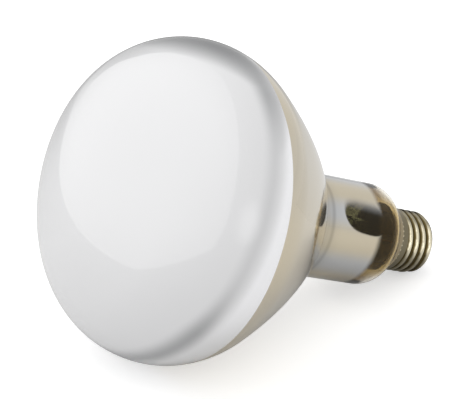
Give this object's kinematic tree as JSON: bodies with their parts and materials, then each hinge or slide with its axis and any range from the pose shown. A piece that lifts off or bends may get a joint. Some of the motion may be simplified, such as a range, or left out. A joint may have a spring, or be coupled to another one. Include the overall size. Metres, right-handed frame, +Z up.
{
  "type": "infrared heat lamp bulb",
  "caption": "Reflector heat lamp: domed frosted front, mirrored paraboloid and neck, screw cap, hollow glass with stem, leads and filament inside.",
  "frame": {"origin": "on the surface that the lamp lies on, under the middle of its bounding box", "axes": "+Z up; +Y the way the cap points, seen from above; the lamp's own axis lies in the YZ plane and falls 23.3 degrees towards the cap, as the lamp lies on its widest rim and the last crest of its thread"},
  "size_m": [0.125, 0.1717, 0.1216],
  "materials": {
    "coated_glass": "frosted white front under a gloss skin, mirror-coated reflector and neck, clear end",
    "clear_glass": "clear, fire-polished",
    "molybdenum_wire": "drawn wire",
    "tungsten": "coiled wire",
    "nickel_wire": "drawn wire",
    "copper_wire": "drawn wire",
    "mica": "split sheet",
    "cement": "baked, matt",
    "nickelled_brass": "rolled sheet, dull nickel with a warm tone",
    "black_glass": "pressed black glass",
    "contact_brass": "pressed",
    "solder": "dull, cast"
  },
  "bodies": {
    "root": {"glass_envelope": "coated_glass", "glass_stem": "clear_glass", "exhaust_tube": "clear_glass", "arbor_rod": "clear_glass", "filament_support_1": "molybdenum_wire", "filament_support_2": "molybdenum_wire", "filament_support_3": "molybdenum_wire", "filament": "tungsten", "inner_lead_centre": "nickel_wire", "inner_lead_side": "nickel_wire", "outer_lead_centre": "copper_wire", "outer_lead_side": "copper_wire", "heat_deflector": "mica", "fuse_sleeve": "clear_glass", "cap_cement": "cement", "screw_shell": "nickelled_brass", "insulator_glass": "black_glass", "centre_contact": "contact_brass", "centre_solder": "solder", "side_solder": "solder"}
  },
  "joints": []
}
